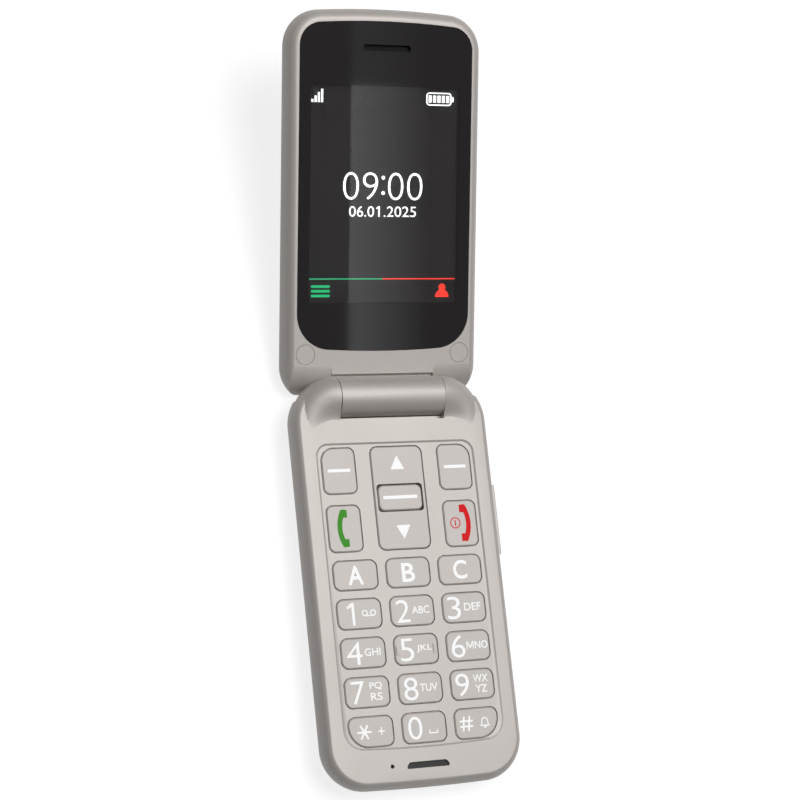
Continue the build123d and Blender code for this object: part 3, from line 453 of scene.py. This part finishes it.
def add_digits(ink):
    """Digits and letters of the number keys, and A, B and C."""
    white = ink["white_ink_painted_glow"]
    for key, (character, left, right) in DIGITS.items():
        middle = key_middle(key)[1]
        target = (left, middle - DIGIT_HEIGHT / 2, right, middle + DIGIT_HEIGHT / 2)
        print_text(character, "print_" + key[4:], white, key, BASE_PLANE, target, DIGIT_WEIGHT)
    for key, rows in LETTERS.items():
        top = key_middle(key)[1] + LETTER_RISE + (len(rows) * (LETTER_HEIGHT + ROW_GAP) - ROW_GAP) / 2
        for row, (letters, left, right) in enumerate(rows):
            high = top - row * (LETTER_HEIGHT + ROW_GAP)
            print_text(letters, "print_%s_letters_%d" % (key[4:], row), white, key, BASE_PLANE,
                       (left, high - LETTER_HEIGHT, right, high), LETTER_WEIGHT)
    left, right, low = *LETTER_M, key_middle("key_6")[1] + LETTER_RISE - LETTER_HEIGHT / 2
    outline = letter_m(left, low, right, low + LETTER_HEIGHT)
    print_shape([outline], "print_6_letter_m", white, "key_6", BASE_PLANE)
    low = key_middle("key_1")[1] - DIGIT_HEIGHT / 2
    outline = figure_one(ONE_RIGHT, low, DIGIT_HEIGHT, ONE_STROKE)
    print_shape([outline], "print_1", white, "key_1", BASE_PLANE)
    for key, width in CAPITALS:
        across, middle = key_middle(key)
        left, right = across - width / 2, across + width / 2
        target = (left, middle - CAPITAL_HEIGHT / 2, right, middle + CAPITAL_HEIGHT / 2)
        print_text(key[4:].upper(), "print_" + key[4:], white, key, BASE_PLANE, target, CAPITAL_WEIGHT)


# Signs on the keys, in mm: X from the middle, Y from the hinge, RISE from the middle of the key.
SOFT_STROKE_X, SOFT_STROKE_HALF, SOFT_STROKE_Y = 16.8, 3.2, (-20.3, -19.5)
SELECT_STROKE_HALF, SELECT_STROKE_Y = 4.9, (-28.0, -27.15)
STROKE_ROUND = 0.2
ARROW_HALF, ARROW_UP, ARROW_DOWN = 2.0, (-20.1, -16.4), (-35.1, -38.8)       # root and tip
RECEIVER_Y, CALL_BACK, END_BACK = -35.25, -18.8, 19.7
POWER_MIDDLE, POWER_RADIUS, POWER_HOLE = (15.2, -35.2), 1.5, 1.22
POWER_STROKE_HALF, POWER_STROKE_ROUND = (0.17, 0.8), 0.12
TAPE_X, TAPE_RISE, TAPE_RADIUS, TAPE_HOLE = (-13.55, -11.2), 0.15, 0.85, 0.55
TAPE_LINE, TAPE_LINE_ROUND = 0.28, 0.1
STAR_X, STAR_ARM, STAR_STROKE = -17, 2.05, 0.48
PLUS_X, PLUS_HALF, PLUS_STROKE = -12.2, 0.95, 0.3
SPACE_X, SPACE_RISE, SPACE_HEIGHT, SPACE_STROKE = (1.25, 3.75), -1.7, 1.0, 0.3
HASH_UPRIGHTS, HASH_LEAN, HASH_UP = (11.3, 12.9), 0.25, 1.95
HASH_ACROSS, HASH_ENDS, HASH_STROKE = (-0.7, 0.7), (10.2, 14.0), 0.45


def sign(outlines, name, key, ink, layer=0):
    """One sign on a key; signs that cross lie on layers."""
    print_shape(outlines, name, ink, key, BASE_PLANE, layer * LAYER)


def add_rocker_signs(white):
    """Strokes on soft keys and select key, and the rocker's arrows."""
    low, high = SOFT_STROKE_Y
    for key, side in (("key_soft_left", -1), ("key_soft_right", 1)):
        left, right = side * SOFT_STROKE_X - SOFT_STROKE_HALF, side * SOFT_STROKE_X + SOFT_STROKE_HALF
        sign([rounded_rectangle(left, low, right, high, STROKE_ROUND)], key + "_stroke", key, white)
    low, high = SELECT_STROKE_Y
    stroke = rounded_rectangle(-SELECT_STROKE_HALF, low, SELECT_STROKE_HALF, high, STROKE_ROUND)
    sign([stroke], "select_stroke", "key_select", white)
    for name, half, (root, tip) in (("up", ARROW_HALF, ARROW_UP), ("down", -ARROW_HALF, ARROW_DOWN)):
        sign([[(-half, root), (half, root), (0, tip)]], "arrow_" + name, "nav_rocker", white)


def add_receivers(green, red):
    """Call and end receivers, and the power sign."""
    sign([handset(CALL_BACK, RECEIVER_Y, 1)], "receiver_call", "key_call", green)
    sign([handset(END_BACK, RECEIVER_Y, -1)], "receiver_end", "key_end", red)
    x, y = POWER_MIDDLE
    half_x, half_y = POWER_STROKE_HALF
    sign([circle(x, y, POWER_RADIUS), circle(x, y, POWER_HOLE)], "power_ring", "key_end", red)
    stroke = rounded_rectangle(x - half_x, y - half_y, x + half_x, y + half_y, POWER_STROKE_ROUND)
    sign([stroke], "power_stroke", "key_end", red)


def add_tape(white):
    """Two reels and the line under them, for messages."""
    y = key_middle("key_1")[1] + TAPE_RISE
    for name, x in zip(("tape_left", "tape_right"), TAPE_X):
        sign([circle(x, y, TAPE_RADIUS), circle(x, y, TAPE_HOLE)], name, "key_1", white)
    (left, right), low = TAPE_X, y - TAPE_RADIUS
    line = rounded_rectangle(left, low, right, low + TAPE_LINE, TAPE_LINE_ROUND)
    sign([line], "tape_line", "key_1", white, 1)


def add_star(white):
    """Star of three strokes with a plus beside it."""
    y = key_middle("key_star")[1]
    for number in range(3):
        across = STAR_ARM * math.cos(math.radians(60 * number))
        up = STAR_ARM * math.sin(math.radians(60 * number))
        stroke = bar((STAR_X - across, y - up), (STAR_X + across, y + up), STAR_STROKE)
        sign([stroke], "star_stroke_%d" % number, "key_star", white, number)
    across = bar((PLUS_X - PLUS_HALF, y), (PLUS_X + PLUS_HALF, y), PLUS_STROKE)
    sign([across], "plus_across", "key_star", white)
    upright = bar((PLUS_X, y - PLUS_HALF), (PLUS_X, y + PLUS_HALF), PLUS_STROKE)
    sign([upright], "plus_upright", "key_star", white, 1)


def add_space_mark(white):
    """Flat bracket, open at the top."""
    low = key_middle("key_0")[1] + SPACE_RISE
    (left, right), high, inner = SPACE_X, low + SPACE_HEIGHT, low + SPACE_STROKE
    sign([[(left, high), (left, low), (right, low), (right, high), (right - SPACE_STROKE, high),
           (right - SPACE_STROKE, inner), (left + SPACE_STROKE, inner), (left + SPACE_STROKE, high)]],
         "space_mark", "key_0", white)


def add_hash(white):
    """Two leaning uprights and two strokes across."""
    y = key_middle("key_hash")[1]
    for number, x in enumerate(HASH_UPRIGHTS):
        stroke = bar((x - HASH_LEAN, y - HASH_UP), (x + HASH_LEAN, y + HASH_UP), HASH_STROKE)
        sign([stroke], "hash_upright_%d" % number, "key_hash", white)
    left, right = HASH_ENDS
    for number, up in enumerate(HASH_ACROSS):
        stroke = bar((left, y + up), (right, y + up), HASH_STROKE)
        sign([stroke], "hash_across_%d" % number, "key_hash", white, 1)


BELL_X, BELL_RISE = 17.45, 0.05
BELL_BODY = (((1.5, -0.95), (1.05, -0.45)), 1.0)     # its brim's corners on the right, and its dome's radius
BELL_HOLLOW = (((0.95, -0.65), (0.75, -0.35)), 0.7)
BELL_DOME = 0.35             # middle of its dome over its own middle
BELL_STEPS = 12
TONGUE_DROP, TONGUE_RADIUS, TONGUE_STEPS = 1.05, 0.42, 8


def add_bell(white):
    """Outline of a small bell with its tongue."""
    x, y = BELL_X, key_middle("key_hash")[1] + BELL_RISE
    outlines = []
    for brim, radius in (BELL_BODY, BELL_HOLLOW):
        left = [(x - across, y + up) for across, up in brim]
        right = [(x + across, y + up) for across, up in brim[::-1]]
        outlines.append(left + arc(x, y + BELL_DOME, radius, 180, 0, BELL_STEPS) + right)
    sign(outlines, "bell", "key_hash", white)
    sign([arc(x, y - TONGUE_DROP, TONGUE_RADIUS, 180, 360, TONGUE_STEPS)], "bell_tongue", "key_hash", white)


def add_key_signs(ink):
    """Every sign on the keys."""
    white = ink["white_ink_painted_glow"]
    add_rocker_signs(white)
    add_receivers(ink["green_ink"], ink["red_ink"])
    add_tape(white)
    add_star(white)
    add_space_mark(white)
    add_hash(white)
    add_bell(white)


# ---- picture on the display ---------------------------------------------------------------------
# Places in mm, x from the lid's middle and y from the hinge. A box is left, low, right and high.
SCREEN_LIFT = 0.03           # mm of the picture's content over the panel
SCREEN_TEXTS = (             # characters, name, box, weight
    ("09", "hours", (-11.75, 52.4, -1.65, 59.7), -0.018), ("00", "minutes", (1.25, 52.4, 11.35, 59.7), -0.018),
    ("06.0", "day", (-9.95, 47.9, -2.7, 50.7), 0.0), (".2025", "year", (0.1, 47.9, 9.55, 50.7), 0.0))
CLOCK_DOTS, CLOCK_DOT_X, CLOCK_DOT_RADIUS = (("low", 54.25), ("high", 58.35)), -0.15, 0.52
MONTH = (-1.05, 47.9, 2.8, 0.46)             # right, low, height and stroke of its 1
SIGNAL_LEFT, SIGNAL_PITCH, SIGNAL_WIDTH = -21.1, 0.92, 0.6
SIGNAL_LOW, SIGNAL_HIGH, SIGNAL_STEP = 77.9, 78.7, 0.9
BATTERY_OUTER = (12.1, 77.8, 19.6, 81.3, 1.0)          # box and corner radius
BATTERY_INNER = (12.45, 78.15, 19.25, 80.95, 0.65)
BATTERY_TIP = (19.6, 78.9, 20.2, 80.2)
CELL_LEFT, CELL_PITCH, CELL_WIDTH, CELL_Y = 12.8, 1.3, 0.9, (78.6, 80.5)
SOFT_LINE_Y, SOFT_LINE_SHORT = (31.18, 31.48), 0.2
MENU_X, MENU_LOW = (-20.6, -15.2), 26.5
MENU_PITCH, MENU_HEIGHT, MENU_ROUND = 1.25, 0.7, 0.3
CONTACT_X, CONTACT_HEAD_Y, CONTACT_LOW = 17.6, 29.0, 26.4
HEAD_RADIUS, SHOULDER_RADIUS, SHOULDER_STEPS = 1.0, 2.0, 16


def box_outline(left, low, right, high):
    """Corners of an upright rectangle."""
    return [(left, low), (right, low), (right, high), (left, high)]


def add_screen(ink):
    """Lit panel with clock, date in numbers, signal, battery and two coloured signs over the soft keys."""
    def lit(outlines, name, colour, base_height=SCREEN_LIFT):
        print_shape(outlines, name, ink[colour], "lid", LCD_PLANE, base_height)

    side, low, high = PICTURE_HALF + PANEL_MARGIN, PICTURE_LOW - PANEL_MARGIN, PICTURE_HIGH + PANEL_MARGIN
    lit([box_outline(-side, low, side, high)], "picture_panel", "panel", 0.0)
    for text, name, target, weight in SCREEN_TEXTS:
        print_text(text, "screen_" + name, ink["lit_white"], "lid", LCD_PLANE, target, weight, SCREEN_LIFT)
    for name, y in CLOCK_DOTS:
        lit([circle(CLOCK_DOT_X, y, CLOCK_DOT_RADIUS)], "clock_dot_" + name, "lit_white")
    lit([figure_one(*MONTH)], "screen_month", "lit_white")
    for step in range(4):
        left, high = SIGNAL_LEFT + step * SIGNAL_PITCH, SIGNAL_HIGH + step * SIGNAL_STEP
        lit([box_outline(left, SIGNAL_LOW, left + SIGNAL_WIDTH, high)], "signal_bar_%d" % step, "lit_white")
    lit([rounded_rectangle(*BATTERY_OUTER), rounded_rectangle(*BATTERY_INNER)], "battery_frame", "lit_white")
    lit([box_outline(*BATTERY_TIP)], "battery_tip", "lit_white")
    low, high = CELL_Y
    for cell in range(5):
        left = CELL_LEFT + cell * CELL_PITCH
        lit([box_outline(left, low, left + CELL_WIDTH, high)], "battery_cell_%d" % cell, "lit_white")
    low, high = SOFT_LINE_Y
    lit([box_outline(-PICTURE_HALF, low, 0, high)], "soft_line_left", "lit_green")
    lit([box_outline(0, low, PICTURE_HALF - SOFT_LINE_SHORT, high)], "soft_line_right", "lit_red")
    left, right = MENU_X
    for row in range(3):
        low = MENU_LOW + row * MENU_PITCH
        lit([rounded_rectangle(left, low, right, low + MENU_HEIGHT, MENU_ROUND)], "menu_line_%d" % row,
            "lit_green")
    lit([circle(CONTACT_X, CONTACT_HEAD_Y, HEAD_RADIUS)], "contact_head", "lit_red")
    left, right = CONTACT_X - SHOULDER_RADIUS, CONTACT_X + SHOULDER_RADIUS
    shoulders = arc(CONTACT_X, CONTACT_LOW, SHOULDER_RADIUS, 180, 0, SHOULDER_STEPS)[1:-1]
    lit([[(left, CONTACT_LOW)] + shoulders + [(right, CONTACT_LOW)]], "contact_shoulders", "lit_red")


LENS_RINGS = (("camera_rim", "steel", 4.1, 3.75), ("lens_ring", "steel", 2.0, 1.75),
              ("lens_glass", "lens", 1.6, None))     # name, finish, radius, radius of the hole in mm
FLASH_RINGS = (("flash_rim", "steel", 1.5, 1.3), ("flash_cell", "flash", 0.9, None))
RING_STEPS = 48


def add_camera_rings(materials):
    """Rings printed behind the camera's cover glass, the lens itself, and the flash's cells."""
    to_lid = LID.inverted()
    turn_out = Matrix.Rotation(math.pi, 4, "Y")
    for node, rings in (("camera_lens", LENS_RINGS), ("flash_led", FLASH_RINGS)):
        points = [to_lid @ vertex.co / MM for vertex in frame["nodes"][node].data.vertices]
        outer_face = min(point.z for point in points)
        across = (min(point.x for point in points) + max(point.x for point in points)) / 2
        along = (min(point.y for point in points) + max(point.y for point in points)) / 2
        outward = LID @ Matrix.Translation(Vector((across, along, outer_face)) * MM) @ turn_out
        for name, material, radius, hole in rings:
            outlines = [circle(0, 0, size, RING_STEPS) for size in (radius, hole) if size]
            print_shape(outlines, name, materials[material], "lid", outward)


# ---- display window: printed black round a clear field ------------------------------------------
WINDOW_ANGLE = 30
FRONT_DEPTH = 0.1            # mm below the window's front within which a face counts as front


def add_window(materials):
    """Copy of the window cut along the picture's edges, so that the field over the picture is clear. At the
    back the clear field is larger, so that the lit panel still fills it when it is seen at a slant."""
    piece = copy_node("display_window")
    bpy.ops.object.mode_set(mode="EDIT")
    normal_matrix = LID.to_3x3()
    for margin in (0, PANEL_MARGIN):
        side, low, high = PICTURE_HALF + margin, PICTURE_LOW - margin, PICTURE_HIGH + margin
        for place, normal in (((-side, 0, 0), (1, 0, 0)), ((side, 0, 0), (1, 0, 0)),
                              ((0, low, 0), (0, 1, 0)), ((0, high, 0), (0, 1, 0))):
            bpy.ops.mesh.select_all(action="SELECT")
            bpy.ops.mesh.bisect(plane_co=LID @ (Vector(place) * MM), plane_no=normal_matrix @ Vector(normal))
    bpy.ops.object.mode_set(mode="OBJECT")
    smooth(piece, WINDOW_ANGLE)
    finish_piece(piece, "window", materials["window"], "lid")
    piece.data.materials.append(materials["glass"])
    to_lid = LID.inverted()
    for face in piece.data.polygons:
        middle = to_lid @ face.center / MM
        margin = 0 if middle.z > GLASS_TOP / MM - FRONT_DEPTH else PANEL_MARGIN
        inside = (abs(middle.x) < PICTURE_HALF + margin
                  and PICTURE_LOW - margin < middle.y < PICTURE_HIGH + margin)
        face.material_index = 1 if inside else 0
    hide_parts("display_window")


# ---- carried-over nodes with smooth shading -----------------------------------------------------
DOUBLE_GAP = 0.001 * MM


def copy_node(node):
    """Copy of a node with its own mesh, its doubled points merged."""
    source = frame["nodes"][node]
    piece = source.copy()
    piece.data = source.data.copy()
    piece.parent = None
    bpy.context.collection.objects.link(piece)
    only(piece)
    bpy.ops.object.mode_set(mode="EDIT")
    bpy.ops.mesh.select_all(action="SELECT")
    bpy.ops.mesh.remove_doubles(threshold=DOUBLE_GAP)
    bpy.ops.object.mode_set(mode="OBJECT")
    bpy.ops.mesh.customdata_custom_splitnormals_clear()
    return piece


DRESSED_ANGLE = 30
FACE_WEIGHT = 100            # large faces set the normals along their edges
DRESSED_SLOTS = ("champagne_shell", "key_plastic")
DRESSED = [node for node in frame["nodes"] if SLOT_OF[node] in DRESSED_SLOTS] + ["alarm_key"]


def dress_nodes(materials):
    """Visible housings and keys: smooth rounds, flat faces kept flat."""
    for node in DRESSED:
        piece = copy_node(node)
        smooth(piece, DRESSED_ANGLE)
        apply_modifier(piece, "WEIGHTED_NORMAL", keep_sharp=True, weight=FACE_WEIGHT)
        slot = SLOT_OF[node]
        finish_piece(piece, node + "_dressed", materials[SLOT_MATERIAL[slot]], BODY_OF[node])
        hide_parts(node)


# ---- floor, lights and camera -------------------------------------------------------------------
CAMERA_PLACE = Vector((-262.08, -68.53, 596.99)) * MM
CAMERA_RIGHT = Vector((0.9139, -0.1033, 0.3927))
CAMERA_UP = Vector((0.0231, 0.9788, 0.2037))
CAMERA_LENS, SENSOR_WIDTH = 110.03, 36.0     # mm
CAMERA_NEAR = 10 * MM


def add_camera():
    """Camera at its fixed place and turn."""
    bpy.ops.object.camera_add()
    camera = bpy.context.object
    back = CAMERA_RIGHT.cross(CAMERA_UP).normalized()
    up = back.cross(CAMERA_RIGHT).normalized()
    turn = Matrix((CAMERA_RIGHT.normalized(), up, back)).transposed().to_4x4()
    camera.matrix_world = Matrix.Translation(CAMERA_PLACE) @ turn
    camera.data.lens = CAMERA_LENS
    camera.data.sensor_width = SENSOR_WIDTH
    camera.data.clip_start = CAMERA_NEAR
    bpy.context.scene.camera = camera


FLOOR_SIZE, FLOOR_DROP = 6.0, 0.02 * MM      # the drop keeps the floor clear of the phone's flat back
FLOOR_DARK, FLOOR_LIGHT = (0.30, 0.30, 0.30), (0.31, 0.31, 0.31)
FLOOR_ROUGHNESS, FLOOR_CLOUD = 0.9, 3.0
FLOOR_GLOW = 0.82            # lifts the floor to white in the picture and in reflections


def show_white(tree, shader, strength):
    """Glow that only the camera, gloss and glass see, so that it puts no light on the phone."""
    path = tree.nodes.new("ShaderNodeLightPath")
    total = path.outputs["Is Camera Ray"]
    for ray in ("Is Glossy Ray", "Is Transmission Ray"):
        total = combine(tree, "ADD", total, path.outputs[ray])
    shader.inputs["Emission Color"].default_value = (1, 1, 1, 1)
    tree.links.new(value_range(tree, total, 0.0, strength), shader.inputs["Emission Strength"])


def add_floor():
    """White floor that keeps the phone's shadow."""
    bpy.ops.mesh.primitive_plane_add(size=FLOOR_SIZE, location=(0, 0, cad_box[0][2] - FLOOR_DROP))
    floor = in_place(bpy.context.object)
    floor.name = "floor"
    material, tree, shader = new_material("floor_white")
    cloud = object_noise(tree, FLOOR_CLOUD)
    tree.links.new(ramp(tree, cloud.outputs["Fac"], FLOOR_DARK, FLOOR_LIGHT), shader.inputs["Base Color"])
    shader.inputs["Roughness"].default_value = FLOOR_ROUGHNESS
    show_white(tree, shader, FLOOR_GLOW)
    floor.data.materials.append(material)


def add_area(name, place, aim, size, power):
    """Rectangular softbox of the given size in m and power in W, aimed at a point."""
    bpy.ops.object.light_add(type="AREA", location=place)
    lamp = bpy.context.object
    lamp.name = name
    lamp.data.shape = "RECTANGLE"
    lamp.data.size, lamp.data.size_y = size
    lamp.data.energy = power
    lamp.rotation_euler = (Vector(aim) - Vector(place)).to_track_quat("-Z", "Y").to_euler()


CARD_HEIGHT = 300.0          # mm of the card over the lid, in the lid's frame
CARD_EDGES = (-10.0, 13.0)   # mm across the window, where its reflection starts and ends
CARD_LENGTH = (4.0, 106.0)   # mm along the window, the same
CARD_DIM = (82.4, 83.2)      # mm along the window, where the reflection drops to a faint one
CARD_DIM_SHARE = 0.25        # what is left of it beyond
CARD_GLOW = 1.2


def card_glow(across, along):
    """Glow that fades to nothing over the span across the card, and drops over the span along it."""
    material, tree, shader = new_material("card_glow")
    place = tree.nodes.new("ShaderNodeTexCoord")
    split = tree.nodes.new("ShaderNodeSeparateXYZ")
    tree.links.new(place.outputs["Object"], split.inputs["Vector"])
    fade = value_range(tree, split.outputs["X"], CARD_GLOW, 0.0, across)
    dim = value_range(tree, split.outputs["Y"], 1.0, CARD_DIM_SHARE, along)
    shader.inputs["Base Color"].default_value = (0, 0, 0, 1)
    shader.inputs["Emission Color"].default_value = (1, 1, 1, 1)
    tree.links.new(combine(tree, "MULTIPLY", fade, dim), shader.inputs["Emission Strength"])
    return material


def add_reflection_card():
    """Strip beside the camera that the window mirrors: bright along its left edge, fading to the right, and
    faint beyond the upper end of the display's picture."""
    camera = LID.inverted() @ CAMERA_PLACE / MM
    reach = (CARD_HEIGHT - GLASS_TOP / MM) / (camera.z - GLASS_TOP / MM)
    left, right = [x + (x - camera.x) * reach for x in CARD_EDGES]
    low, high = [y + (y - camera.y) * reach for y in CARD_LENGTH]
    dim_places = [LID @ Vector((0, (y + (y - camera.y) * reach) * MM, CARD_HEIGHT * MM)) for y in CARD_DIM]
    bpy.ops.mesh.primitive_plane_add(size=1.0)
    card = bpy.context.object
    card.name = "reflection_card"
    middle = Vector(((left + right) / 2, (low + high) / 2, CARD_HEIGHT)) * MM
    stretch = Matrix.Diagonal(((right - left) * MM, (high - low) * MM, 1, 1))
    card.matrix_world = LID @ Matrix.Translation(middle) @ stretch
    in_place(card)
    card.data.materials.append(card_glow((left * MM, right * MM), [place.y for place in dim_places]))
    card.visible_camera = card.visible_diffuse = card.visible_shadow = False


SOFTBOX_PLACE, SOFTBOX_AIM = (0.30, 0.30, 1.35), (0, 0, 0)
SOFTBOX_SIZE, SOFTBOX_POWER = (0.9, 0.9), 15.5
SURROUND = 0.05


def add_lights():
    """Soft studio: one wide softbox overhead on the right, and a faint even surround."""
    add_area("top_softbox", SOFTBOX_PLACE, SOFTBOX_AIM, SOFTBOX_SIZE, SOFTBOX_POWER)
    world = bpy.context.scene.world or bpy.data.worlds.new("studio")
    bpy.context.scene.world = world
    world.use_nodes = True
    background = world.node_tree.nodes["Background"]
    background.inputs["Color"].default_value = (1, 1, 1, 1)
    background.inputs["Strength"].default_value = SURROUND


bpy.context.scene.view_settings.view_transform = "Standard"
materials = make_materials()
paint_frame(materials)
dress_nodes(materials)
add_window(materials)
add_screen(materials)
add_digits(materials)
add_key_signs(materials)
add_camera_rings(materials)
add_camera()
add_floor()
add_reflection_card()
add_lights()

bpy.context.view_layer.update()
